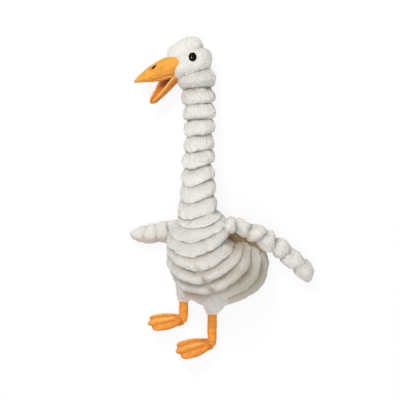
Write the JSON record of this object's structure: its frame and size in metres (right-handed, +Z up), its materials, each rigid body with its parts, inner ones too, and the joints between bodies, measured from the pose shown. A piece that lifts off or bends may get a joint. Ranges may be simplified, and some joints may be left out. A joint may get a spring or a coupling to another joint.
{
  "type": "plush dog toy",
  "caption": "Stuffed long-necked duck dog toy, with a rolled plush neck and body, an open orange beak, lumpy wings and webbed feet, lying on its back.",
  "frame": {"origin": "middle of the toy's box, on the floor that it lies on", "axes": "+Y from the feet to the crown of the head, +X to the bird's left wing, +Z up, which is the way that its chest faces"},
  "size_m": [0.2638, 0.4588, 0.1035],
  "materials": {
    "cream_plush": "short pile plush",
    "orange_velour": "velour",
    "mouth_lining": "matte cloth",
    "black_plastic": "polished",
    "black_thread": "satin stitched"
  },
  "bodies": {
    "root": {"plush_body": "cream_plush", "wing_left": "cream_plush", "wing_right": "cream_plush", "thigh_left": "cream_plush", "thigh_right": "cream_plush", "leg_left": "orange_velour", "leg_right": "orange_velour", "foot_left": "orange_velour", "foot_right": "orange_velour", "beak_upper": "orange_velour", "beak_lower": "orange_velour", "mouth_lining": "mouth_lining", "eye_left": "black_plastic", "eye_right": "black_plastic", "nostril_left": "black_thread", "nostril_right": "black_thread"}
  },
  "joints": []
}
